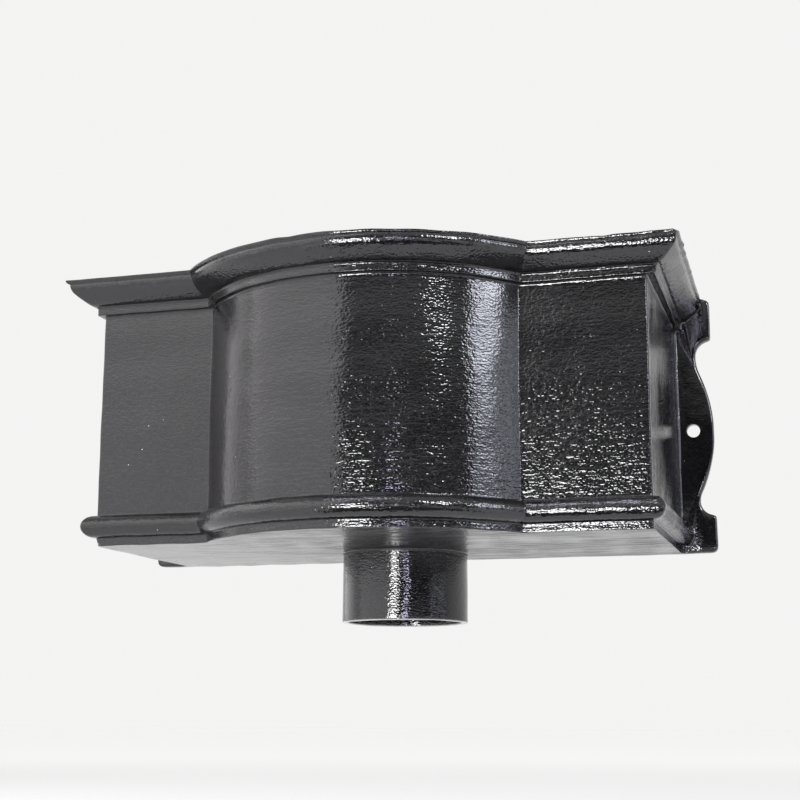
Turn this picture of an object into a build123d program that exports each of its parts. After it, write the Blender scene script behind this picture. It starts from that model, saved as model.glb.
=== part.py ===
from build123d import *
import os
from math import atan2, cos, hypot, sin, tan

# Bow-fronted cast-iron rainwater hopper, one casting, in millimetres.
# The wall plane is y = 0, the front faces -Y, and z = 0 is the height of the two fixing holes.

# Plan of the body
body_width = 446.0
wing_depth = 186.0
bow_width = 252.0
bow_rise = 65.0

# Heights of the members of the front, from the underside to the rim
base_band_height = 6.5
half_round_height = 17.7
wall_face_height = 166.4
astragal_height = 5.8
ovolo_height = 15.5
lip_height = 4.6

# How far the mouldings stand out from the wall face
half_round_projection = 9.8
astragal_projection = 4.7
ovolo_projection = 20.9
ovolo_bulge = 2.7
lip_lean = 2.2

# Thicknesses of the metal
wall_thickness = 6.0
floor_thickness = 6.0
plate_thickness = 8.0

# Outlet spigot
outlet_diameter = 104.0
outlet_wall = 5.0
outlet_length = 57.5
outlet_setback = 61.5

# Back plate, whose two ears reach past the sides of the body and carry the fixing holes
ear_width = 30.0
hole_height = 103.0
hole_offset = 13.0
hole_diameter = 11.5
top_block_height = 36.0
bottom_block_height = 31.0
notch_radius = 13.0
belly_radius = 124.0

# Rounded edges and corners of the casting
ear_corner_radius = 4.5
plate_edge_radius = 2.5
plate_root_radius = 5.0
cavity_corner_radius = 4.0
outlet_root_radius = 3.0
outlet_mouth_radius = 3.0
outlet_lip_chamfer = 1.2

# Heights of the members above the fixing holes
underside = -hole_height
half_round_low = underside + base_band_height
half_round_high = half_round_low + half_round_height
wall_top = half_round_high + wall_face_height
astragal_top = wall_top + astragal_height
ovolo_top = astragal_top + ovolo_height
rim = ovolo_top + lip_height
floor_top = underside + floor_thickness

# Plan values that follow from the sizes above
half_width = body_width / 2
half_plate = half_width + ear_width
hole_spacing = body_width + 2 * hole_offset
bow_radius = ((bow_width / 2) ** 2 + bow_rise**2) / (2 * bow_rise)
bow_axis_y = -wing_depth - bow_rise + bow_radius
lip_projection = ovolo_projection + lip_lean

# Cutting solids run this far past the metal that they open
overcut = 10.0

# Edges are picked within this distance of the place where they lie
tolerance = 0.01


def around(place):
    """The narrow range that picks what lies at a place."""
    return place - tolerance, place + tolerance


def circles_at(piece, height):
    """The round edges of a piece that lie level at a height."""
    return piece.edges().filter_by(GeomType.CIRCLE).filter_by_position(Axis.Z, *around(height))


def draw_outside(inner):
    """Draw the moulded outside, from the underside to the rim, closed by a line at inner."""
    stilt = half_round_projection - half_round_height / 2
    half_round_middle = (half_round_low + half_round_high) / 2
    rise = ovolo_height
    run = ovolo_projection - astragal_projection
    chord = hypot(run, rise)
    ovolo_middle = (
        astragal_projection + run / 2 + ovolo_bulge * rise / chord,
        astragal_top + rise / 2 - ovolo_bulge * run / chord,
    )
    half_round_foot = (stilt, half_round_low)
    half_round_head = (stilt, half_round_high)
    Polyline((inner, rim), (inner, underside), (0, underside), (0, half_round_low), half_round_foot)
    ThreePointArc(half_round_foot, (half_round_projection, half_round_middle), half_round_head)
    Polyline(
        half_round_head,
        (0, half_round_high),
        (0, wall_top),
        (astragal_projection, wall_top),
        (astragal_projection, astragal_top),
    )
    ThreePointArc((astragal_projection, astragal_top), ovolo_middle, (ovolo_projection, ovolo_top))
    Polyline((ovolo_projection, ovolo_top), (lip_projection, rim), (inner, rim))


def draw_inside(inner):
    """Draw the cavity's edge: an upright wall, then a flare that runs parallel to the ovolo."""
    slope = atan2(ovolo_height, ovolo_projection - astragal_projection)
    flare_low = (
        astragal_projection - wall_thickness * sin(slope),
        astragal_top + wall_thickness * cos(slope),
    )
    knee = flare_low[1] - (flare_low[0] + wall_thickness) * tan(slope)
    mouth = rim + overcut
    mouth_reach = flare_low[0] + (mouth - flare_low[1]) / tan(slope)
    Polyline(
        (inner, mouth),
        (inner, floor_top),
        (-wall_thickness, floor_top),
        (-wall_thickness, knee),
        (mouth_reach, mouth),
        (inner, mouth),
    )


def bowed_body(draw_edge, back):
    """Body with flat wings and a bowed centre whose edge section draw_edge gives.

    A length across and a length from back to front meet in the mitres of the corners,
    and the half turn of the bow meets the wings in the two inner corners.
    """
    wing_plane = Plane(origin=(0, -wing_depth, 0), x_dir=(0, -1, 0), z_dir=(-1, 0, 0))
    side_plane = Plane(origin=(half_width, back, 0), x_dir=(1, 0, 0), z_dir=(0, -1, 0))
    bow_plane = Plane(origin=(-bow_radius, bow_axis_y, 0), x_dir=(-1, 0, 0), z_dir=(0, 1, 0))
    reach = lip_projection + overcut
    with BuildPart() as body:
        with BuildSketch(wing_plane):
            with BuildLine():
                draw_edge(-wing_depth - back)
            make_face()
        extrude(amount=half_width + reach, both=True)
        with BuildSketch(side_plane):
            with BuildLine():
                draw_edge(-half_width)
            make_face()
            mirror(about=Plane.YZ.offset(-half_width))
        extrude(amount=wing_depth + back + reach, mode=Mode.INTERSECT)
        with BuildSketch(bow_plane):
            with BuildLine():
                draw_edge(-bow_radius)
            make_face()
        revolve(axis=Axis((0, bow_axis_y, 0), (0, 0, 1)), revolution_arc=180)
    return body.part


def belly_joint(height):
    """Where an ear's belly meets the blend that starts upright at the given height."""
    centre_x = half_plate - belly_radius
    blend_radius = ((belly_radius - notch_radius) ** 2 + height**2 - belly_radius**2) / (2 * notch_radius)
    across = half_plate - notch_radius + blend_radius - centre_x
    share = belly_radius / hypot(across, height)
    return centre_x + share * across, share * height


with BuildPart() as back_plate:
    with BuildSketch(Plane.XZ):
        with BuildLine() as ear_outline:
            neck = half_plate - notch_radius
            top_block = rim - top_block_height
            bottom_block = underside + bottom_block_height
            upper_joint = belly_joint(top_block - notch_radius)
            lower_joint = belly_joint(bottom_block + notch_radius)
            Polyline((0, underside), (0, rim), (half_plate, rim), (half_plate, top_block))
            TangentArc((half_plate, top_block), (neck, top_block - notch_radius), tangent=(-1, 0))
            TangentArc((neck, top_block - notch_radius), upper_joint, tangent=(0, -1))
            belly = ThreePointArc(upper_joint, (half_plate, 0), lower_joint)
            TangentArc(lower_joint, (neck, bottom_block + notch_radius), tangent=belly % 1)
            TangentArc((neck, bottom_block + notch_radius), (half_plate, bottom_block), tangent=(0, -1))
            Polyline((half_plate, bottom_block), (half_plate, underside), (0, underside))
        make_face()
        mirror(about=Plane.YZ)
        ear_corners = vertices().group_by(Axis.Y)[-1] + vertices().group_by(Axis.Y)[0]
        fillet(ear_corners, radius=ear_corner_radius)
    extrude(amount=plate_thickness)
    front_face = faces().sort_by(Axis.Y)[0]
    fillet(front_face.edges(), radius=plate_edge_radius)
    with Locations(Plane.XZ):
        with GridLocations(hole_spacing, 1, 2, 1):
            Hole(radius=hole_diameter / 2, depth=2 * plate_thickness)

with BuildPart() as hopper:
    add(bowed_body(draw_outside, 0))
    add(back_plate.part)
    add(bowed_body(draw_inside, -plate_thickness), mode=Mode.SUBTRACT)
    with BuildSketch(Plane.XY.offset(underside)):
        with Locations((0, -outlet_setback)):
            Circle(outlet_diameter / 2)
    extrude(amount=-outlet_length)
    with BuildSketch(Plane.XY.offset(underside - outlet_length)):
        with Locations((0, -outlet_setback)):
            Circle(outlet_diameter / 2 - outlet_wall)
    extrude(amount=outlet_length + floor_thickness, mode=Mode.SUBTRACT)

    outlet_mouth = circles_at(hopper, floor_top).sort_by(SortBy.RADIUS)[0]
    fillet(outlet_mouth, radius=outlet_mouth_radius)
    outlet_root = circles_at(hopper, underside).sort_by(SortBy.RADIUS)[0]
    fillet(outlet_root, radius=outlet_root_radius)
    chamfer(circles_at(hopper, underside - outlet_length), length=outlet_lip_chamfer)
    plate_edges = edges().filter_by(Axis.Z).filter_by_position(Axis.Y, *around(-plate_thickness))
    wall_roots = [
        plate_edges.filter_by_position(Axis.X, *around(side)).sort_by(SortBy.LENGTH)[-1]
        for side in (-half_width, half_width)
    ]
    fillet(wall_roots, radius=plate_root_radius)
    floor = faces().filter_by_position(Axis.Z, *around(floor_top))[0]
    fillet(floor.outer_wire().edges(), radius=cavity_corner_radius)

os.makedirs("parts", exist_ok=True)
hopper.part.label = "hopper"
export_step(hopper.part, "parts/hopper.step")
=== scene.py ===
"""Bow-fronted cast rainwater hopper in brushed-on gloss black paint.

Lengths are in millimetres while a surface is worked out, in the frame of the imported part:
the wall plane is y = 0, the front faces -Y, and z = 0 is the height of the two fixing holes.
They become metres when a mesh is made.
"""

import logging
import math
from dataclasses import dataclass
from enum import Enum
from typing import Any

import bmesh
import bpy
import numpy as np
from mathutils import Matrix, Vector


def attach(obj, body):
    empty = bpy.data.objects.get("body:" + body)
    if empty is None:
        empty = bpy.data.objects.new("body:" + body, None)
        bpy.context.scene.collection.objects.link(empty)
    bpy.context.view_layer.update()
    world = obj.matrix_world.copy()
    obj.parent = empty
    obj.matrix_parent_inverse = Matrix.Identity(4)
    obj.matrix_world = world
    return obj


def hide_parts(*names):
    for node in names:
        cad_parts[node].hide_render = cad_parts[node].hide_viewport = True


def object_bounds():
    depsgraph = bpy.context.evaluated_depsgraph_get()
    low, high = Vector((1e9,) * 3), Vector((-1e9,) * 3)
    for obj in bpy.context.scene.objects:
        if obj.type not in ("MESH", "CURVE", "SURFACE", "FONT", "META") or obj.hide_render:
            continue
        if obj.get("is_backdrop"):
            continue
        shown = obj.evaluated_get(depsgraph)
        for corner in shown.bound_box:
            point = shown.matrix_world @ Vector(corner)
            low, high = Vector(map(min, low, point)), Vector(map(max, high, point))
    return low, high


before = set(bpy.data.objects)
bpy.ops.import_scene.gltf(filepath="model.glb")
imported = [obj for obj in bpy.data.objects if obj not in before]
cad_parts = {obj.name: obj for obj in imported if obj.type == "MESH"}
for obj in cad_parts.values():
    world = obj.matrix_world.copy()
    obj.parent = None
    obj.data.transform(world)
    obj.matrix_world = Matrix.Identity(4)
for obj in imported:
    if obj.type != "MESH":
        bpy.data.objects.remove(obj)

LOG = logging.getLogger("hopper")
METRE = 0.001
CAMERA_RAYS = ("Is Camera Ray",)
MIRROR_RAYS = ("Is Glossy Ray", "Is Transmission Ray")
FAN_START = 0.03
EVEN = (1.0, 1.0, 1.0)
BLACK = (0.0, 0.0, 0.0, 1.0)

Pair = tuple[float, float]
Triple = tuple[float, float, float]
Colour = tuple[float, float, float, float]
Socket = bpy.types.NodeSocket


def placed(name: str, data: bpy.types.ID) -> bpy.types.Object:
    """Make an object, at the origin and unturned, and put it in the scene."""
    piece = bpy.data.objects.new(name, data)
    bpy.context.scene.collection.objects.link(piece)
    return piece


# Curves and surfaces


def arc(centre: Pair, radius: float, start: float, end: float, count: int) -> np.ndarray:
    """Work out an arc's points: centre plus radius times cosine and sine of an even turn, in degrees."""
    turn = np.radians(np.linspace(start, end, count))
    return np.stack([centre[0] + radius * np.cos(turn), centre[1] + radius * np.sin(turn)], axis=1)


def chain(start: Pair, bends: tuple[Triple, ...], count: int) -> np.ndarray:
    """Walk down a face along tangent arcs.

    Each arc moves by its radius times the change in the cosine and sine of the face's downward tilt.
    A negative radius makes a hollow arc.

    Args:
        start: The first point, at the top.
        bends: Radius, first tilt and last tilt of each arc, the tilts in degrees.
        count: How many points each arc has.

    Returns:
        The points, one a row.
    """
    path = [np.array([start])]
    for radius, first, last in bends:
        tilt = np.radians(np.linspace(first, last, count))
        step = np.stack([np.cos(tilt) - np.cos(tilt[0]), np.sin(tilt[0]) - np.sin(tilt)], axis=1)
        path.append(path[-1][-1] + radius * step[1:])
    return np.vstack(path)


def spaced(path: np.ndarray, step: float, closed: bool = False) -> np.ndarray:
    """Walk along a path at an even pace: its points read off at equal lengths.

    Args:
        path: The path's points, one a row.
        step: About how far apart the new points lie.
        closed: Whether the path comes back to its start.

    Returns:
        The new points, one a row. A closed path doesn't repeat its first point.
    """
    line = np.vstack([path, path[:1]]) if closed else path
    length = np.concatenate([[0.0], np.cumsum(np.hypot(*np.diff(line, axis=0).T))])
    places = np.linspace(0.0, length[-1], max(int(round(length[-1] / step)), 3) + 1)
    if closed:
        places = places[:-1]
    return np.stack([np.interp(places, length, line[:, axis]) for axis in range(2)], axis=1)


def bell(distance: np.ndarray, reach: float) -> np.ndarray:
    """Fall from 1 as a bell does: e to the power of minus half the square of distance over reach."""
    return np.exp(-0.5 * (distance / reach) ** 2)


def softened(path: np.ndarray, step: float, reach: float, closed: bool = False) -> np.ndarray:
    """Round a path's corners as thick paint does: each point is the bell-weighted mean of its neighbours.

    Args:
        path: The path's points, one a row.
        step: The pace at which the path is walked.
        reach: The width of the bell.
        closed: Whether the path comes back to its start.

    Returns:
        The rounded path, whose ends stay where they were.
    """
    even = spaced(path, step, closed)
    half = int(math.ceil(3 * reach / step))
    weight = bell(np.arange(-half, half + 1) * step, reach)
    weight /= weight.sum()
    if closed:
        padded = np.vstack([even[-half:], even, even[:half]])
    else:
        before = 2 * even[0] - even[half:0:-1]
        after = 2 * even[-1] - even[-2:-half - 2:-1]
        padded = np.vstack([before, even, after])
    return np.stack([np.convolve(padded[:, axis], weight, mode="valid") for axis in range(2)], axis=1)


def thinned(path: np.ndarray, count: int, care: float) -> np.ndarray:
    """Keep few points where a path is straight and many where it bends.

    The pace is even in length plus care times the angle turned.

    Args:
        path: The path's points, one a row, closely spaced.
        count: How many points to keep.
        care: The length that a turn of one radian counts for.

    Returns:
        The kept points, one a row.
    """
    run = np.diff(path, axis=0)
    heading = np.unwrap(np.arctan2(run[:, 1], run[:, 0]))
    turn = np.concatenate([[0.0], np.abs(np.diff(heading))])
    weight = np.concatenate([[0.0], np.cumsum(np.hypot(*run.T) + care * turn)])
    places = np.linspace(0.0, weight[-1], count)
    return np.stack([np.interp(places, weight, path[:, axis]) for axis in range(2)], axis=1)


def shares(count: int) -> np.ndarray:
    """Divide 0 to 1 into even steps, in one row that leaves out the 0."""
    return np.linspace(0.0, 1.0, count + 1)[None, 1:]


def smoothstep(low: float, high: float, value: np.ndarray) -> np.ndarray:
    """Rise smoothly from 0 at low to 1 at high."""
    share = np.clip((value - low) / (high - low), 0.0, 1.0)
    return share * share * (3 - 2 * share)


@dataclass(frozen=True)
class Skin:
    """A closed surface on a grid that comes back to its start across, with a cap at each end."""

    rows: np.ndarray

    def mesh(self, name: str) -> bpy.types.Object:
        """Put the grid into a mesh object.

        Args:
            name: The object's name.

        Returns:
            The object, at the origin, with its faces outwards.
        """
        count, across = self.rows.shape[:2]
        places = np.arange(count * across).reshape(count, across)
        near, far = places[:-1], places[1:]
        quads = np.stack([near, np.roll(near, -1, 1), np.roll(far, -1, 1), far], axis=-1).reshape(-1, 4)
        faces = quads.tolist() + [places[0, ::-1].tolist(), places[-1].tolist()]
        mesh = bpy.data.meshes.new(name)
        mesh.from_pydata((self.rows.reshape(-1, 3) * METRE).tolist(), [], faces)
        mesh.update()
        shell = bmesh.new()
        shell.from_mesh(mesh)
        if shell.calc_volume(signed=True) < 0:
            mesh.flip_normals()
        shell.free()
        return placed(name, mesh)


def closed_in(rows: np.ndarray, centre: Triple, count: int) -> Skin:
    """Close the start of a surface with smaller rings, each an even share of the way out from a centre.

    Args:
        rows: The surface, one ring a row.
        centre: The centre that the rings close in on.
        count: How many smaller rings.

    Returns:
        The whole surface.
    """
    middle = np.array(centre)
    share = np.linspace(FAN_START, 1.0, count, endpoint=False)[:, None, None]
    return Skin(np.concatenate([middle + share * (rows[:1] - middle), rows]))


class Axle(Enum):
    """Which way an axis of turning runs, as the order of across, along and height."""

    UPRIGHT = (0, 1, 2)
    INTO_WALL = (0, 2, 1)


def turned(profile: np.ndarray, centre: Triple, axle: Axle, count: int) -> Skin:
    """Turn a profile about an axis: radius times cosine and sine of the turn, and height along the axis.

    Args:
        profile: Radius and height, one pair a row.
        centre: Where the axis passes.
        axle: Which way the axis runs.
        count: How many points round.

    Returns:
        The turned surface.
    """
    turn = np.linspace(0.0, 2 * np.pi, count, endpoint=False)
    radius, height = profile[:, :1], profile[:, 1:]
    across, along = radius * np.cos(turn), radius * np.sin(turn)
    parts = (across, along, np.broadcast_to(height, across.shape))
    return Skin(np.stack([parts[place] for place in axle.value], axis=-1) + np.array(centre))


# The casting


@dataclass(frozen=True)
class PlanCurve:
    """Plan outline of the body: side, corner, wing and bow, mirrored, set out by any amount."""

    half_width: float = 223.0
    depth: float = 186.0
    bow_half_width: float = 126.0
    bow_rise: float = 65.0
    corner_radius: float = 2.2
    corner_taper: float = 0.65
    corner_taper_span: Pair = (10.0, 20.0)
    inner_radius: float = 2.6
    root_radius: float = 5.0
    root_taper: float = 0.55
    root_taper_span: Pair = (8.0, 20.0)
    root_front: float = 7.7
    root_count: int = 7
    side_count: int = 34
    wing_count: int = 30
    bow_count: int = 62
    arc_count: int = 6
    back_count: int = 30

    @property
    def bow_radius(self) -> float:
        """Radius of the bow's wall face, from its half chord and its rise."""
        return (self.bow_half_width**2 + self.bow_rise**2) / (2 * self.bow_rise)

    @property
    def bow_axis(self) -> float:
        """Where the bow's upright axis stands, front to back."""
        return self.bow_radius - self.depth - self.bow_rise

    def right_half(self, out: np.ndarray, back: float, rooted: bool) -> tuple[np.ndarray, np.ndarray]:
        """Set the right half of the outline out from the wall face.

        The side lies at half width plus out, the wing at depth plus out, and the bow on its radius plus
        out. A quarter turn rounds the corner, and an arc that touches wing and bow the inner corner.
        Corner and root are rounded less where the edge stands far out.

        Args:
            out: How far each row stands out from the wall face.
            back: Where the outline ends at the back.
            rooted: Whether the side curves out into the back plate.

        Returns:
            Places across and front to back, one row for each value of out.
        """
        out = out[:, None]
        side_x, wing_y = self.half_width + out, -(self.depth + out)
        rounding = self.corner_radius * (1 - self.corner_taper * smoothstep(*self.corner_taper_span, out))
        front_y = wing_y + rounding
        if rooted:
            turn = np.linspace(np.pi / 2, 0.0, self.root_count)[None, :]
            scale = 1 - self.root_taper * smoothstep(*self.root_taper_span, out)
            root_x = side_x + scale * self.root_radius * (1 - np.cos(turn))
            root_y = -self.root_front - self.root_radius * (1 - np.sin(turn)) + 0 * out
            first_x = np.concatenate([root_x[:, :1], root_x], axis=1)
            first_y = np.concatenate([back + 0 * out, root_y], axis=1)
            start = -self.root_front - self.root_radius
        else:
            first_x, first_y = side_x, back + 0 * out
            start = back
        side_y = start + shares(self.side_count) * (front_y - start)
        side = (side_x + 0 * side_y, side_y)
        turn = -np.pi / 2 * shares(self.arc_count)
        corner = (side_x - rounding * (1 - np.cos(turn)), front_y + rounding * np.sin(turn))
        blend_y = wing_y - self.inner_radius
        reach = self.bow_radius + out + self.inner_radius
        blend_x = np.sqrt(reach**2 - (blend_y - self.bow_axis) ** 2)
        wing_start = side_x - rounding
        wing_x = wing_start + shares(self.wing_count) * (blend_x - wing_start)
        wing = (wing_x, wing_y + 0 * wing_x)
        bow_start = np.arctan2(blend_y - self.bow_axis, blend_x)
        turn = np.pi / 2 + shares(self.arc_count) * (bow_start + np.pi / 2)
        blend = (blend_x + self.inner_radius * np.cos(turn), blend_y + self.inner_radius * np.sin(turn))
        turn = bow_start + shares(self.bow_count) * (-np.pi / 2 - bow_start)
        radius = self.bow_radius + out
        bow = (radius * np.cos(turn), self.bow_axis + radius * np.sin(turn))
        across, along = zip((first_x, first_y), side, corner, wing, blend, bow)
        return np.concatenate(across, axis=1), np.concatenate(along, axis=1)

    def carry(self, profile: np.ndarray, back: np.ndarray, rooted: bool) -> np.ndarray:
        """Carry a profile round: right half, its mirror image, and a straight back from left to right.

        Args:
            profile: How far each ring stands out from the wall face, and its height, one pair a row.
            back: Where each ring's back lies.
            rooted: Whether the sides curve out into the back plate.

        Returns:
            The places, one ring a row.
        """
        right_x, right_y = self.right_half(profile[:, 0], float(back.max()), rooted)
        right_y[:, :1] = back[:, None]
        share = np.linspace(-1.0, 1.0, self.back_count + 2)[None, 1:-1]
        back_x = share * right_x[:, :1]
        across = np.concatenate([right_x, -right_x[:, -2::-1], back_x], axis=1)
        along = np.concatenate([right_y, right_y[:, -2::-1], back[:, None] + 0 * share], axis=1)
        return np.stack([across, along, np.broadcast_to(profile[:, 1:], across.shape)], axis=-1)


@dataclass(frozen=True)
class Heights:
    """Heights of the members, above the fixing holes."""

    underside: float = -103.0
    bead_low: float = -96.5
    bead_high: float = -78.8
    wall_top: float = 87.0
    astragal_top: float = 93.4
    ovolo_top: float = 108.9
    rim: float = 113.5
    floor_top: float = -97.0
    spigot_end: float = -160.5


@dataclass(frozen=True)
class Bowl:
    """The body: moulded outside, and the cavity that opens upwards.

    The ovolo's bends are shaped after the photograph. So are quirk, head, fillet, climb and
    beyond, which are given as projection and height from a corner that the sizes set.
    """

    plan: PlanCurve = PlanCurve()
    heights: Heights = Heights()
    bead: float = 9.8
    astragal: float = 4.7
    ovolo: float = 20.9
    lip: float = 23.1
    ovolo_bends: tuple[Triple, ...] = (
        (2.5, -35.0, 9.0), (17.0, 9.0, 18.0), (6.0, 18.0, 46.0), (80.0, 46.0, 54.0), (9.4, 54.0, 84.0),
        (-0.7, 84.0, 18.0), (-5.0, 18.0, 9.0), (-1.0, 9.0, 0.0),
    )
    quirk: Pair = (-2.4, -3.5)
    head: tuple[Pair, ...] = ((-1.1, -2.8), (-0.5, -2.2), (-0.1, -0.9))
    fillet: tuple[Pair, ...] = ((0.0, -1.8), (0.1, -1.2), (0.35, -0.5), (0.9, 0.0))
    climb: tuple[Pair, ...] = ((-0.6, -1.2), (0.7, -0.1))
    beyond: tuple[Pair, ...] = ((2.2, 0.6), (2.6, 6.0))
    foot_reach: float = 14.0
    rim_reach: float = 4.0
    wall: float = 6.0
    floor_corner: float = 4.0
    plate_thickness: float = 8.0
    buried: float = 1.0
    paint_step: float = 0.1
    paint_reach: float = 0.38
    inside_step: float = 0.2
    inside_reach: float = 0.7
    bead_count: int = 40
    bend_count: int = 14
    outside_count: int = 190
    inside_count: int = 46
    outside_care: float = 4.5
    inside_care: float = 6.0
    underside_rings: int = 26
    floor_rings: int = 12
    outlet_y: float = -61.5

    def edge_profile(self) -> np.ndarray:
        """Work out the moulded edge, from the underside round to the flat of the rim.

        Straight runs, a half round for the bead and tangent arcs for the ovolo, softened by the paint.

        Returns:
            Projection and height, one pair a row.
        """
        h = self.heights
        radius = (h.bead_high - h.bead_low) / 2
        stilt = self.bead - radius
        half_round = arc((stilt, h.bead_low + radius), radius, -90.0, 90.0, self.bead_count)
        quirk = (self.lip + self.quirk[0], h.rim + self.quirk[1])
        face = chain(quirk, self.ovolo_bends, self.bend_count)[::-1]
        foot = [(-self.foot_reach, h.underside), (0.0, h.underside), (0.0, h.bead_low)]
        wall = [(0.0, h.bead_high)]
        fillet = np.array(self.fillet) + (0.0, h.wall_top)
        astragal = [(self.astragal, h.wall_top), (self.astragal, face[0, 1])]
        head = np.array(self.head) + (self.lip, h.rim)
        flat = [(self.lip, h.rim), (self.rim_reach, h.rim)]
        path = np.vstack([foot, half_round, wall, fillet, astragal, face[1:], head, flat])
        soft = softened(path, self.paint_step, self.paint_reach)
        return thinned(soft, self.outside_count, self.outside_care)

    def outside(self) -> Skin:
        """Carry the edge profile round the plan, and draw the underside in towards the outlet.

        Returns:
            The outside as a closed surface, flat at its back inside the back plate.
        """
        profile = self.edge_profile()
        moulded = self.plan.carry(profile, np.full(len(profile), -self.buried), True)
        return closed_in(moulded, (0.0, self.outlet_y, self.heights.underside), self.underside_rings)

    def inside(self) -> Skin:
        """Work out the cavity: floor, rounded foot, upright wall, flare behind the ovolo, eased mouth.

        Returns:
            The cavity as a closed surface that runs past the rim.
        """
        h = self.heights
        slope = math.atan2(h.ovolo_top - h.astragal_top, self.ovolo - self.astragal)
        flare = (self.astragal - self.wall * math.sin(slope), h.astragal_top + self.wall * math.cos(slope))
        knee = flare[1] - (flare[0] + self.wall) * math.tan(slope)
        mouth = flare[0] + (h.rim - flare[1]) / math.tan(slope)
        corner = self.floor_corner
        foot = arc((-self.wall - corner, h.floor_top + corner), corner, -90.0, 0.0, 9)
        climb = np.array(self.climb + self.beyond) + (mouth, h.rim)
        path = softened(np.vstack([foot, [(-self.wall, knee)], climb]), self.inside_step, self.inside_reach)
        profile = thinned(path, self.inside_count, self.inside_care)
        back = np.minimum(profile[:, 0] + self.wall, 0.0) - self.plate_thickness
        walls = self.plan.carry(profile, back, False)
        return closed_in(walls, (0.0, self.outlet_y, h.floor_top), self.floor_rings)


@dataclass(frozen=True)
class BackPlate:
    """The flat plate at the back, whose ears reach past the sides and carry the fixing holes."""

    heights: Heights = Heights()
    half_width: float = 253.0
    thickness: float = 8.0
    notch: float = 13.0
    belly: float = 124.0
    top_block: float = 77.5
    bottom_block: float = -72.0
    corner: float = 4.5
    edge: float = 2.5
    back_edge: float = 0.9
    edge_middle: float = 0.35
    outline_step: float = 0.6
    outline_reach: float = 1.5
    outline_pace: float = 2.5
    back_rings: int = 13
    hole_x: float = 236.0
    hole_radius: float = 5.45
    hole_back_ease: tuple[Pair, ...] = ((1.6, 1.0), (0.7, 0.1), (0.15, -0.5), (0.0, -1.2))
    hole_front_ease: tuple[Pair, ...] = ((0.0, 1.2), (0.2, 0.5), (0.9, -0.2), (1.8, -1.2))
    hole_count: int = 40

    def blend(self, height: float) -> tuple[float, float]:
        """Fit the arc that starts upright at the neck and touches the belly.

        Args:
            height: How far from the middle the blend starts.

        Returns:
            The blend's radius, and the angle on the belly where they touch, in degrees.
        """
        radius = ((self.belly - self.notch) ** 2 + height**2 - self.belly**2) / (2 * self.notch)
        across = self.half_width - self.notch + radius - (self.half_width - self.belly)
        return radius, math.degrees(math.atan2(height, across))

    def outline(self) -> np.ndarray:
        """Work out the plate's outline: blocks, quarter-round notches, blends and bellies of tangent arcs.

        Returns:
            Points across and up, one a row, evenly spaced, softened at the corners.
        """
        h, w, neck = self.heights, self.half_width, self.half_width - self.notch
        high, low = self.top_block - self.notch, self.bottom_block + self.notch
        upper_radius, upper_angle = self.blend(high)
        lower_radius, lower_angle = self.blend(low)
        belly_x = w - self.belly
        right = np.vstack([
            arc((w - self.corner, h.rim - self.corner), self.corner, 90.0, 0.0, 10),
            [(w, self.top_block)],
            arc((w, high), self.notch, 90.0, 180.0, 20)[1:],
            arc((neck + upper_radius, high), upper_radius, 180.0, 180.0 + upper_angle, 24)[1:],
            arc((belly_x, 0.0), self.belly, upper_angle, lower_angle, 60)[1:],
            arc((neck + lower_radius, low), lower_radius, 180.0 + lower_angle, 180.0, 16)[1:],
            arc((w, low), self.notch, 180.0, 270.0, 20)[1:],
            arc((w - self.corner, h.underside + self.corner), self.corner, 0.0, -90.0, 10),
        ])
        whole = np.vstack([right, right[::-1] * [-1.0, 1.0]])
        soft = softened(whole, self.outline_step, self.outline_reach, closed=True)
        return spaced(soft, self.outline_pace, closed=True)

    def body(self) -> Skin:
        """Carry the outline from the back face over the rounded edge to the front face.

        Each ring of the edge is the outline moved inwards along its own normals, and each ring of the
        back face is the first of them drawn in towards the middle.

        Returns:
            The plate as a closed surface.
        """
        line = self.outline()
        run = np.roll(line, -1, 0) - np.roll(line, 1, 0)
        inward = np.stack([run[:, 1], -run[:, 0]], axis=1) / np.hypot(*run.T)[:, None]
        front = arc((self.edge, self.edge - self.thickness), self.edge, 180.0, 270.0, 6)
        back = arc((self.back_edge, -self.back_edge), self.back_edge, 90.0, 180.0, 4)
        rings = np.vstack([back, [(0.0, -self.edge_middle * self.thickness)], front])
        inset, depth = rings[:, 0][:, None, None], rings[:, 1]
        flat = line[None] + inset * inward[None]
        y = np.broadcast_to(depth[:, None], flat.shape[:2])
        edge = np.stack([flat[..., 0], y, flat[..., 1]], axis=-1)
        middle = (self.heights.underside + self.heights.rim) / 2
        return closed_in(edge, (0.0, 0.0, middle), self.back_rings)

    def hole(self, side: int) -> Skin:
        """Work out the cutter for a fixing hole, eased at both faces.

        Args:
            side: 1 for the right ear, -1 for the left.

        Returns:
            The cutter as a closed surface.
        """
        back = np.array(self.hole_back_ease) + (self.hole_radius, 0.0)
        front = np.array(self.hole_front_ease) + (self.hole_radius, -self.thickness)
        centre = (side * self.hole_x, 0.0, 0.0)
        return turned(np.vstack([back, front]), centre, Axle.INTO_WALL, self.hole_count)


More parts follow.
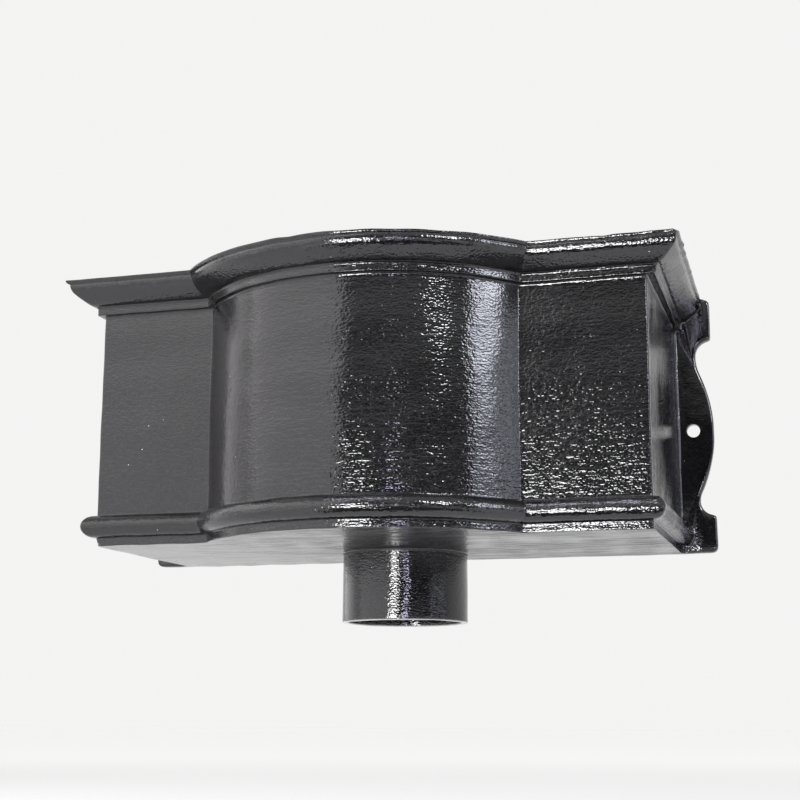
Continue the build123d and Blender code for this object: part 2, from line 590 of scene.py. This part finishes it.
@dataclass(frozen=True)
class Spigot:
    """The round outlet under the floor."""

    heights: Heights = Heights()
    centre_y: float = -61.5
    radius: float = 52.0
    wall: float = 5.0
    root: float = 1.3
    lip: float = 1.2
    mouth: float = 3.0
    bury: float = 3.0
    overcut: float = 4.0
    overcut_reach: float = 0.4
    count: int = 144
    tube_count: int = 20
    bore_count: int = 18

    def tube(self) -> Skin:
        """Turn the outside of the spigot, from inside the floor to its rounded end.

        Returns:
            The spigot, still solid.
        """
        h, r = self.heights, self.radius
        top = (r + self.root, h.underside + self.bury)
        root = arc((r + self.root, h.underside - self.root), self.root, 90.0, 180.0, 9)
        run = self.straight(r, h.underside - self.root, h.spigot_end + self.lip, self.tube_count)
        end = arc((r - self.lip, h.spigot_end + self.lip), self.lip, 0.0, -90.0, 6)
        profile = np.vstack([[top], root, run, end])
        return turned(profile, (0.0, self.centre_y, 0.0), Axle.UPRIGHT, self.count)

    def straight(self, radius: float, start: float, end: float, count: int) -> np.ndarray:
        """Step evenly along a straight stretch of wall, without its start and end."""
        height = np.linspace(start, end, count + 2)[1:-1]
        return np.stack([np.full(height.shape, radius), height], axis=1)

    def bore(self) -> Skin:
        """Turn the cutter for the bore, rounded at the end and at the mouth in the floor.

        Returns:
            The cutter as a closed surface.
        """
        h, r = self.heights, self.radius - self.wall
        first = (r + self.lip + self.overcut_reach, h.spigot_end - self.overcut)
        end = arc((r + self.lip, h.spigot_end + self.lip), self.lip, -90.0, -180.0, 6)
        run = self.straight(r, h.spigot_end + self.lip, h.floor_top - self.mouth, self.bore_count)
        mouth = arc((r + self.mouth, h.floor_top - self.mouth), self.mouth, 180.0, 90.0, 8)
        last = (r + self.mouth + self.overcut_reach, h.floor_top + self.overcut)
        profile = np.vstack([[first], end, run, mouth, [last]])
        return turned(profile, (0.0, self.centre_y, 0.0), Axle.UPRIGHT, self.count)


@dataclass(frozen=True)
class Pimple:
    """A small lump or nick of the casting: a bell-shaped push around a place."""

    place: Triple
    push: Triple
    reach: float


@dataclass(frozen=True)
class SandMould:
    """The unevenness that a sand mould leaves: slow waves through space, and a few lumps and nicks."""

    waves: int = 14
    longest: float = 95.0
    shortest: float = 22.0
    height: float = 0.085
    seed: int = 7
    splay: float = 4.3
    splay_across: Pair = (223.5, 229.0)
    splay_up: Pair = (84.0, 90.0)
    splay_depth: float = 209.0
    pimples: tuple[Pimple, ...] = (
        Pimple((246.1, -209.1, 113.5), (-1.7, 1.7, -1.2), 2.0),
        Pimple((243.0, -208.5, 111.5), (0.6, -1.3, 0.8), 2.2),
        Pimple((228.0, -209.0, 111.0), (0.0, -0.9, 0.4), 2.4),
        Pimple((246.0, -173.0, 111.5), (1.5, 0.0, 0.0), 1.3),
        Pimple((246.0, -150.0, 111.0), (1.3, 0.0, -0.3), 1.6),
        Pimple((246.0, -100.0, 111.5), (1.3, 0.0, 0.0), 1.2),
        Pimple((246.0, -22.0, 111.0), (1.0, 0.0, -0.6), 2.2),
        Pimple((196.0, -209.0, 113.5), (0.0, 0.0, -0.8), 3.5),
        Pimple((120.0, -211.0, 113.5), (0.0, 0.0, -0.7), 4.5),
        Pimple((-30.0, -272.0, 113.5), (0.0, 0.3, -0.6), 5.0),
        Pimple((-246.0, -209.0, 113.0), (-1.6, -1.0, -0.2), 3.5),
        Pimple((-223.0, -186.0, -102.5), (1.8, 1.2, 1.0), 2.0),
        Pimple((231.0, -195.0, -84.0), (-0.8, 0.8, -0.9), 1.8),
        Pimple((231.5, -190.0, -86.0), (0.9, -0.4, 0.6), 1.5),
    )

    def settle(self, places: np.ndarray) -> np.ndarray:
        """Move places as the mould does.

        Every wave adds a sine of the distance along its own direction, and every pimple a bell. The right
        return of the cornice splays outwards by an amount that grows evenly from the wall to the front.

        Args:
            places: Points in millimetres, one a row.

        Returns:
            The moved points.
        """
        dice = np.random.default_rng(self.seed)
        heading = dice.normal(size=(self.waves, 3))
        heading /= np.linalg.norm(heading, axis=1, keepdims=True)
        length = np.geomspace(self.longest, self.shortest, self.waves)
        push = dice.normal(size=(self.waves, 3)) * self.height * (length / self.longest)[:, None] ** 0.5
        phase = dice.uniform(0.0, 2 * np.pi, self.waves)
        moved = places + np.sin(places @ (heading * (2 * np.pi / length)[:, None]).T + phase) @ push
        cornice = smoothstep(*self.splay_across, places[:, 0]) * smoothstep(*self.splay_up, places[:, 2])
        moved[:, 0] += self.splay * cornice * np.clip(-places[:, 1] / self.splay_depth, 0.0, 1.0)
        for pimple in self.pimples:
            distance = np.linalg.norm(places - np.array(pimple.place), axis=1)
            moved = moved + bell(distance, pimple.reach)[:, None] * np.array(pimple.push)
        return moved


class Join(Enum):
    """How one solid is joined to another."""

    ADD = "UNION"
    CUT = "DIFFERENCE"


@dataclass(frozen=True)
class Casting:
    """The whole hopper: bowl, back plate and spigot, poured as one piece."""

    bowl: Bowl = Bowl()
    plate: BackPlate = BackPlate()
    spigot: Spigot = Spigot()
    mould: SandMould = SandMould()
    smooth_angle: float = 32.0

    def pour(self, box: list[list[float]]) -> bpy.types.Object:
        """Join the sub-assemblies into one mesh and let the mould's unevenness into it.

        Args:
            box: The lowest and the highest corner that the casting may reach, in metres.

        Returns:
            The casting.
        """
        casting = self.bowl.outside().mesh("hopper_casting")
        steps = [
            (self.plate.body(), Join.ADD),
            (self.spigot.tube(), Join.ADD),
            (self.bowl.inside(), Join.CUT),
            (self.spigot.bore(), Join.CUT),
            (self.plate.hole(1), Join.CUT),
            (self.plate.hole(-1), Join.CUT),
        ]
        tools = []
        for number, (skin, join) in enumerate(steps):
            tool = skin.mesh(f"tool_{number}")
            change = casting.modifiers.new(f"join_{number}", "BOOLEAN")
            change.operation = join.value
            change.solver = "MANIFOLD"
            change.object = tool
            tools.append(tool)
        bpy.context.view_layer.update()
        solid = casting.evaluated_get(bpy.context.evaluated_depsgraph_get())
        mesh = bpy.data.meshes.new_from_object(solid)
        casting.modifiers.clear()
        casting.data = mesh
        for tool in tools:
            bpy.data.objects.remove(tool, do_unlink=True)
        self.finish_surface(mesh, box)
        return casting

    def finish_surface(self, mesh: bpy.types.Mesh, box: list[list[float]]) -> None:
        """Settle the points as the mould does, keep them in the CAD box and shade the faces smooth.

        Args:
            mesh: The mesh to finish.
            box: The lowest and the highest corner of the CAD box, in metres.
        """
        flat = np.empty(len(mesh.vertices) * 3)
        mesh.vertices.foreach_get("co", flat)
        places = self.mould.settle(flat.reshape(-1, 3) / METRE) * METRE
        mesh.vertices.foreach_set("co", np.clip(places, *np.array(box)).ravel())
        mesh.polygons.foreach_set("use_smooth", np.ones(len(mesh.polygons), dtype=bool))
        mesh.update()
        mesh.set_sharp_from_angle(angle=math.radians(self.smooth_angle))

    def dress(self, casting: bpy.types.Object, finish: "BrushedPaint") -> None:
        """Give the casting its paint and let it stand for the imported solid.

        Args:
            casting: The casting.
            finish: Its paint.
        """
        casting.data.materials.clear()
        casting.data.materials.append(finish.material())
        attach(casting, "root")
        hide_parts("hopper")


# Shader maths and finishes


@dataclass(frozen=True)
class Grain:
    """How fine a noise is: cells to a metre, finer layers and their strength, and a scale for each axis."""

    scale: float
    detail: float
    rough: float = 0.5
    stretch: Triple = EVEN


class Signal:
    """A value socket whose arithmetic adds Math nodes to its tree."""

    def __init__(self, bench: "Bench", socket: Socket) -> None:
        """Wrap a socket."""
        self.bench = bench
        self.socket = socket

    def reckon(self, operation: str, first: Any, second: Any) -> "Signal":
        """Add a Math node for two values or signals."""
        return self.bench.value("Math", {0: first, 1: second}, operation=operation)

    def __add__(self, other: Any) -> "Signal":
        """Add."""
        return self.reckon("ADD", self, other)

    def __sub__(self, other: Any) -> "Signal":
        """Subtract."""
        return self.reckon("SUBTRACT", self, other)

    def __rsub__(self, other: Any) -> "Signal":
        """Subtract from a number."""
        return self.reckon("SUBTRACT", other, self)

    def __mul__(self, other: Any) -> "Signal":
        """Multiply."""
        return self.reckon("MULTIPLY", self, other)

    __radd__ = __add__
    __rmul__ = __mul__

    def ramp(self, low: float, high: float) -> "Signal":
        """Rise smoothly from 0 at low to 1 at high."""
        inputs = {0: self, 1: low, 2: high, 3: 0.0, 4: 1.0}
        return self.bench.value("MapRange", inputs, interpolation_type="SMOOTHSTEP")

    def fall(self, low: float, high: float) -> "Signal":
        """Fall smoothly from 1 at low to 0 at high."""
        return 1.0 - self.ramp(low, high)

    def beyond(self, low: float, high: float) -> "Signal":
        """Rise smoothly on both sides of zero: the square, from the square of low to that of high."""
        return (self * self).ramp(low**2, high**2)

    def at_least(self, least: float) -> "Signal":
        """Squeeze 0 to 1 into least to 1: least plus the rest times the value."""
        return least + (1.0 - least) * self


class Bench:
    """The place where a node tree is put together."""

    def __init__(self, tree: bpy.types.NodeTree) -> None:
        """Start with an empty tree."""
        self.tree = tree
        tree.nodes.clear()

    def node(self, kind: str, inputs: dict[Any, Any], **settings: Any) -> bpy.types.Node:
        """Add a node.

        Args:
            kind: The node's type, without the word ShaderNode.
            inputs: Values or links for its sockets, by name or number.
            settings: Its own settings, which are set first.

        Returns:
            The node.
        """
        node = self.tree.nodes.new(f"ShaderNode{kind}")
        for name, setting in settings.items():
            setattr(node, name, setting)
        for name, given in inputs.items():
            if isinstance(given, Signal):
                given = given.socket
            if isinstance(given, Socket):
                self.tree.links.new(given, node.inputs[name])
            else:
                node.inputs[name].default_value = given
        return node

    def value(self, kind: str, inputs: dict[Any, Any], **settings: Any) -> Signal:
        """Add a node and take its first output as a signal."""
        return Signal(self, self.node(kind, inputs, **settings).outputs[0])

    def place(self) -> Socket:
        """Give the place on the piece, in metres."""
        return self.node("TexCoord", {}).outputs["Object"]

    def parts(self, place: Socket) -> tuple[Signal, Signal, Signal]:
        """Take a place apart into across, front to back, and up."""
        outputs = self.node("SeparateXYZ", {0: place}).outputs
        return Signal(self, outputs[0]), Signal(self, outputs[1]), Signal(self, outputs[2])

    def rays(self, kinds: tuple[str, ...]) -> Signal:
        """Tell whether the ray that sees the surface is of one of some kinds, as 0 or 1."""
        path = self.node("LightPath", {})
        return sum(Signal(self, path.outputs[kind]) for kind in kinds)

    def noise(self, place: Socket, grain: Grain) -> Signal:
        """Read a noise at a place.

        Args:
            place: Where it is read.
            grain: How fine it is.

        Returns:
            The noise, from 0 to 1, around a half.
        """
        if grain.stretch != EVEN:
            inputs = {0: place, "Scale": grain.stretch}
            place = self.node("Mapping", inputs, vector_type="POINT").outputs[0]
        inputs = {"Vector": place, "Scale": grain.scale, "Detail": grain.detail, "Roughness": grain.rough}
        return self.value("TexNoise", inputs)

    def surface(self, inputs: dict[str, Any]) -> None:
        """Finish a material's tree: a shader with the given inputs, and the output."""
        shader = self.node("BsdfPrincipled", inputs)
        self.node("OutputMaterial", {"Surface": shader.outputs[0]})

    def blend(self, share: Any, first: Any, second: Any) -> Socket:
        """Mix two colours, with share saying how much of the second."""
        return self.node("Mix", {0: share, 6: first, 7: second}, data_type="RGBA").outputs[2]


def blank_material(name: str) -> tuple[bpy.types.Material, Bench]:
    """Make a material, and the bench on which its tree is put together."""
    material = bpy.data.materials.new(name)
    material.use_nodes = True
    return material, Bench(material.node_tree)


@dataclass(frozen=True)
class Ground:
    """What the parts of the paint share: the place, rougher patches from 0 to 1, and peel around 0."""

    bench: Bench
    place: Socket
    patch: Signal
    peel: Signal


@dataclass(frozen=True)
class BrushedPaint:
    """Gloss black paint brushed over a sand-cast surface.

    A span is where something starts and where it is complete, in metres in the frame of the part, a
    reach is the same on both sides of the middle, and a range is the same on a noise.
    """

    name: str = "gloss_black_paint"
    colour: Colour = (0.0020, 0.0019, 0.0022, 1.0)
    dusty: Colour = (0.0072, 0.0068, 0.0074, 1.0)
    speck: Colour = (0.40, 0.40, 0.38, 1.0)
    # Pale grey painted on the ring at the spigot's end as a highlight, where the lip catches light.
    painted_rim_highlight: Colour = (0.26, 0.25, 0.25, 1.0)
    refraction: float = 1.5

    body_span: Pair = (-0.112, -0.103)
    low_span: Pair = (-0.075, 0.03)
    cornice_span: Pair = (0.086, 0.089)
    bead_span: Pair = (-0.079, -0.0775)
    side_reach: Pair = (0.2226, 0.2234)
    side_span: Pair = (-0.1856, -0.1846)
    left_span: Pair = (-0.14, -0.03)
    ear_span: Pair = (-0.0098, -0.0084)
    foot_reach: Pair = (0.235, 0.243)
    foot_span: Pair = (-0.08, -0.04)
    underside_low: Pair = (-0.1040, -0.1035)
    underside_high: Pair = (-0.1031, -0.1024)
    scuffed_span: Pair = (-0.20, 0.05)
    crevice_low: Pair = (-0.1056, -0.1046)
    crevice_high: Pair = (-0.1040, -0.1036)
    # Heights over which the painted highlight ring at the spigot's end fades in.
    rim_highlight_span: Pair = (-0.1602, -0.1592)

    patches: Grain = Grain(14.0, 2.0)
    patch_range: Pair = (0.38, 0.62)
    peel_grain: Grain = Grain(740.0, 1.0, stretch=(0.6, 0.6, 1.0))
    peel_height: float = 0.0002
    peel_on_mouldings: float = 0.35
    sand_grain: Grain = Grain(230.0, 2.0)
    sand_height: float = 0.0002
    sand_least: float = 0.35
    ear_smoothness: float = 0.75
    stroke_grain: Grain = Grain(380.0, 1.5, stretch=(0.16, 0.16, 1.0))
    stroke_height: float = 0.00017
    stroke_least: float = 0.3
    stroke_on_body: float = 0.4
    stroke_low: float = 0.9
    stroke_on_mouldings: float = 0.8
    left_least: float = 0.4
    drip_grain: Grain = Grain(320.0, 2.0, 0.6, (0.1, 1.0, 0.08))
    drip_height: float = 0.00055

    mottle: float = 2.2
    patch_share: float = 0.2
    nib_scale: float = 62.0
    nib_range: Pair = (0.018, 0.035)
    nib_strength: float = 0.8

    gloss: float = 0.035
    gloss_range: float = 0.055
    gloss_grain: Grain = Grain(60.0, 3.0)
    scuff: float = 0.46
    streak_grain: Grain = Grain(420.0, 3.0, 0.6, (0.05, 1.0, 1.0))
    streak_range: Pair = (0.40, 0.66)
    streak_least: float = 0.25
    scuff_least: float = 0.3
    crevice: float = 0.55

    def material(self) -> bpy.types.Material:
        """Build the paint from its relief, its tint and its roughness.

        Returns:
            The material.
        """
        material, bench = blank_material(self.name)
        place = bench.place()
        patch = bench.noise(place, self.patches).ramp(*self.patch_range)
        ground = Ground(bench, place, patch, bench.noise(place, self.peel_grain) - 0.5)
        height = self.relief(ground)
        bump = bench.node("Bump", {"Strength": 1.0, "Distance": 1.0, "Height": height})
        bench.surface({
            "Base Color": self.tint(ground),
            "Roughness": self.roughness(ground),
            "Normal": bump.outputs[0],
            "IOR": self.refraction,
        })
        return material

    def relief(self, ground: Ground) -> Signal:
        """Sum the relief: orange peel, pebbly sand in patches, and the strokes of the brush.

        Peel is a little higher on the mouldings, and peel and sand are lower on the back plate, except
        at the foot of its ears. Level strokes are stronger on the body, towards its bottom and on the
        mouldings, and weaker towards the left. On the two sides upright strokes take their place.

        Args:
            ground: What the parts of the paint share.

        Returns:
            The height of the relief, in metres.
        """
        bench, place = ground.bench, ground.place
        across, along, up = bench.parts(place)
        body = up.ramp(*self.body_span)
        low = up.fall(*self.low_span) * body
        moulding = up.ramp(*self.cornice_span) + up.fall(*self.bead_span) * body
        foot = up.fall(*self.foot_span) * (1.0 - across.beyond(*self.foot_reach))
        ear = along.ramp(*self.ear_span) * (1.0 - foot)
        sand = bench.noise(place, self.sand_grain) - 0.5
        height = ground.peel * (self.peel_height * (1.0 + self.peel_on_mouldings * moulding))
        height = height + sand * (self.sand_height * ground.patch.at_least(self.sand_least))
        height = height * (1.0 - self.ear_smoothness * ear)
        side = across.beyond(*self.side_reach) * along.ramp(*self.side_span)
        spread = self.stroke_least + self.stroke_on_body * body + self.stroke_low * low
        spread = spread + self.stroke_on_mouldings * moulding
        spread = spread * across.ramp(*self.left_span).at_least(self.left_least) * (1.0 - side)
        strokes = bench.noise(place, self.stroke_grain) - 0.5
        drips = bench.noise(place, self.drip_grain) - 0.5
        return height + strokes * (self.stroke_height * spread) + drips * (self.drip_height * side)

    def tint(self, ground: Ground) -> Socket:
        """Mix the colour: black, dustier on the crests of the peel, white nibs, and a pale ring at the end
        of the spigot that is a painted highlight.

        Args:
            ground: What the parts of the paint share.

        Returns:
            The colour.
        """
        bench = ground.bench
        up = bench.parts(ground.place)[2]
        crest = (0.5 + ground.peel * self.mottle) * (1.0 - self.patch_share)
        crest = crest + ground.patch * self.patch_share
        inputs = {"Vector": ground.place, "Scale": self.nib_scale}
        nib = bench.value("TexVoronoi", inputs, feature="F1").fall(*self.nib_range)
        black = bench.blend(crest, self.colour, self.dusty)
        specked = bench.blend(nib * self.nib_strength, black, self.speck)
        # Painted highlight: the ring at the spigot's end is painted pale grey.
        return bench.blend(up.fall(*self.rim_highlight_span), specked, self.painted_rim_highlight)

    def roughness(self, ground: Ground) -> Signal:
        """Work out the roughness: a gloss that varies, scuffs beneath and a dull crevice.

        The scuffs are streaks across the underside, stronger towards the right. The crevice runs
        round the root of the spigot, which the brush didn't reach.

        Args:
            ground: What the parts of the paint share.

        Returns:
            The roughness.
        """
        bench, place = ground.bench, ground.place
        across, _, up = bench.parts(place)
        streak = bench.noise(place, self.streak_grain).ramp(*self.streak_range)
        beneath = up.fall(*self.underside_high) * up.ramp(*self.underside_low)
        scuffed = beneath * streak.at_least(self.streak_least)
        scuffed = scuffed * across.ramp(*self.scuffed_span).at_least(self.scuff_least)
        crevice = up.ramp(*self.crevice_low) * up.fall(*self.crevice_high)
        gloss = self.gloss + self.gloss_range * bench.noise(place, self.gloss_grain)
        return gloss + self.scuff * scuffed + self.crevice * crevice


# The studio


@dataclass(frozen=True)
class Lamp:
    """A flat soft light that faces the hopper, given as a direction from it."""

    name: str
    azimuth: float
    elevation: float
    across: float
    up: float
    radiance: float
    colour: Triple = EVEN
    distance: float = 5.0

    def hang(self) -> None:
        """Put the lamp in the scene: its power is radiance times area times pi."""
        width = 2 * self.distance * math.tan(math.radians(self.across) / 2)
        height = 2 * self.distance * math.tan(math.radians(self.up) / 2)
        light = bpy.data.lights.new(self.name, "AREA")
        light.shape = "RECTANGLE"
        light.size, light.size_y = width, height
        light.energy = self.radiance * width * height * math.pi
        light.color = self.colour
        lamp = placed(self.name, light)
        turn, tilt = math.radians(self.azimuth), math.radians(self.elevation)
        away = Vector((math.sin(turn) * math.cos(tilt), -math.cos(turn) * math.cos(tilt), math.sin(tilt)))
        lamp.location = away * self.distance
        lamp.rotation_euler = away.to_track_quat("Z", "Y").to_euler()
        lamp.visible_camera = False


@dataclass(frozen=True)
class Studio:
    """The pale floor, a black flag, the even surroundings and the lamps."""

    white: Colour = (1.0, 1.0, 0.995, 1.0)
    backdrop: float = 0.90
    floor_height: float = -0.55
    floor_size: float = 60.0
    floor_colour: Colour = (0.86, 0.86, 0.855, 1.0)
    floor_grain: Grain = Grain(1.5, 2.0)
    floor_least: float = 0.97
    floor_roughness: float = 0.8
    floor_lift: float = 0.285
    far_lift: float = 0.425
    far_start: float = 3.6
    far_end: float = 10.3
    flag_height: float = -0.5
    flag_low: Pair = (-0.25, -1.38)
    flag_high: Pair = (1.0, -0.48)
    flag_colour: Colour = (0.02, 0.02, 0.02, 1.0)
    ambient: float = 0.5
    dim_low: float = 0.03
    dim_high: float = 0.95
    behind_span: Pair = (-0.15, 0.35)
    rise_span: Pair = (0.17, 0.33)
    lamps: tuple[Lamp, ...] = (
        Lamp("left_bank", -44.3, 14.0, 59.4, 56.0, 2.04, (1.0, 0.975, 1.0)),
        Lamp("far_left_bank", -100.5, 14.0, 54.0, 56.0, 1.24, (1.0, 0.975, 1.0)),
        Lamp("window_head", 70.0, 20.5, 16.0, 12.0, 18.0, (0.86, 0.89, 1.0)),
        Lamp("window_sill", 78.0, 9.0, 32.0, 10.0, 3.1, (0.82, 0.85, 1.0)),
        Lamp("low_lamp", -4.2, -10.0, 13.5, 16.0, 34.0, distance=1.45),
        Lamp("high_lamp", -8.0, 54.0, 26.0, 12.0, 8.0, (0.84, 0.82, 1.0), 3.0),
        Lamp("side_strip", 42.0, 28.5, 11.0, 8.5, 48.0, (0.95, 0.97, 1.0)),
        Lamp("narrow_strip", 17.0, -3.5, 8.0, 7.0, 23.0, (0.80, 0.75, 1.0)),
    )

    def build(self) -> None:
        """Lay the floor and the flag, set the surroundings and hang the lamps."""
        self.lay_floor()
        self.lay_flag()
        self.surround()
        for lamp in self.lamps:
            lamp.hang()

    def lay_sheet(self, name: str, low: Pair, high: Pair, height: float) -> bpy.types.Object:
        """Lay a level rectangle.

        Args:
            name: The object's name.
            low: Its left front corner.
            high: Its right back corner.
            height: How high it lies.

        Returns:
            The rectangle.
        """
        corners = [(*low, height), (high[0], low[1], height), (*high, height), (low[0], high[1], height)]
        mesh = bpy.data.meshes.new(name)
        mesh.from_pydata(corners, [], [(0, 1, 2, 3)])
        sheet = placed(name, mesh)
        sheet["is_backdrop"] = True
        return sheet

    def lay_floor(self) -> None:
        """Lay one large square of pale floor, whose own glow evens it out for the camera and the gloss.

        The glow grows with the distance from the hopper: the square of the distance rises smoothly
        from the square of far_start to that of far_end.
        """
        half = self.floor_size / 2
        floor = self.lay_sheet("studio_floor", (-half, -half), (half, half), self.floor_height)
        material, bench = blank_material("pale_floor")
        place = bench.place()
        tone = bench.noise(place, self.floor_grain).at_least(self.floor_least)
        across, along, _ = bench.parts(place)
        far = (across * across + along * along).ramp(self.far_start**2, self.far_end**2)
        level = bench.rays(CAMERA_RAYS + MIRROR_RAYS)
        level = level * (self.floor_lift + (self.far_lift - self.floor_lift) * far)
        bench.surface({
            "Base Color": bench.blend(tone, BLACK, self.floor_colour),
            "Roughness": self.floor_roughness,
            "Emission Color": bench.blend(level, BLACK, self.white),
            "Emission Strength": 1.0,
        })
        floor.data.materials.append(material)

    def lay_flag(self) -> None:
        """Lay a black flag below the camera, which shows in the gloss alone."""
        flag = self.lay_sheet("studio_flag", self.flag_low, self.flag_high, self.flag_height)
        flag.visible_camera = flag.visible_diffuse = flag.visible_shadow = flag.visible_transmission = False
        material, bench = blank_material("black_velvet")
        bench.surface({"Base Color": self.flag_colour, "Roughness": 1.0})
        flag.data.materials.append(material)

    def surround(self) -> None:
        """Make the world: pale to the camera, to the gloss pale behind and dim ahead, plain to the rest."""
        world = bpy.data.worlds.new("studio")
        bpy.context.scene.world = world
        world.use_nodes = True
        bench = Bench(world.node_tree)
        toward = bench.node("TexCoord", {}).outputs["Generated"]
        _, along, up = bench.parts(toward)
        ahead = self.dim_low + (self.dim_high - self.dim_low) * up.ramp(*self.rise_span)
        mirrored = ahead + (self.backdrop - ahead) * along.ramp(*self.behind_span)
        camera, mirror = bench.rays(CAMERA_RAYS), bench.rays(MIRROR_RAYS)
        level = self.ambient * (1 - mirror) * (1 - camera) + mirrored * mirror + self.backdrop * camera
        shader = bench.node("Background", {"Color": self.white, "Strength": level})
        bench.node("OutputWorld", {"Surface": shader.outputs[0]})


@dataclass(frozen=True)
class Viewpoint:
    """The photograph's camera."""

    place: Triple = (0.3596, -1.2828, -0.2341)
    yaw: float = 16.63
    pitch: float = 11.67
    roll: float = 0.18
    lens: float = 68.4
    sensor: float = 36.0
    nearest: float = 0.02
    farthest: float = 200.0

    def stand(self) -> None:
        """Put the camera in the scene, turned left by yaw, up by pitch and tilted by roll."""
        yaw, pitch, roll = (math.radians(angle) for angle in (self.yaw, self.pitch, self.roll))
        ahead = Vector((-math.sin(yaw) * math.cos(pitch), math.cos(yaw) * math.cos(pitch), math.sin(pitch)))
        level = Vector((math.cos(yaw), math.sin(yaw), 0.0))
        above = level.cross(ahead)
        right = math.cos(roll) * level + math.sin(roll) * above
        up = math.cos(roll) * above - math.sin(roll) * level
        data = bpy.data.cameras.new("photograph")
        data.lens = self.lens
        data.sensor_width = self.sensor
        data.clip_start = self.nearest
        data.clip_end = self.farthest
        camera = placed("photograph", data)
        turn = Matrix((right, up, -ahead)).transposed().to_4x4()
        camera.matrix_world = Matrix.Translation(Vector(self.place)) @ turn
        bpy.context.scene.camera = camera


def plain(box: Any) -> list[list[float]]:
    """Turn a box's corners into plain lists of numbers."""
    return [[float(value) for value in corner] for corner in box]


def main() -> None:
    """Build the camera, the casting and the studio."""
    logging.basicConfig(level=logging.INFO, format="%(message)s")
    cad_box = plain(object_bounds())
    Viewpoint().stand()
    casting = Casting()
    piece = casting.pour(cad_box)
    casting.dress(piece, BrushedPaint())
    triangles = sum(len(face.vertices) - 2 for face in piece.data.polygons)
    LOG.info("hopper_casting: %d vertices, %d triangles", len(piece.data.vertices), triangles)
    Studio().build()
    LOG.info("studio built")
    bpy.context.scene.view_settings.view_transform = "Standard"


if __name__ == "__main__":
    main()
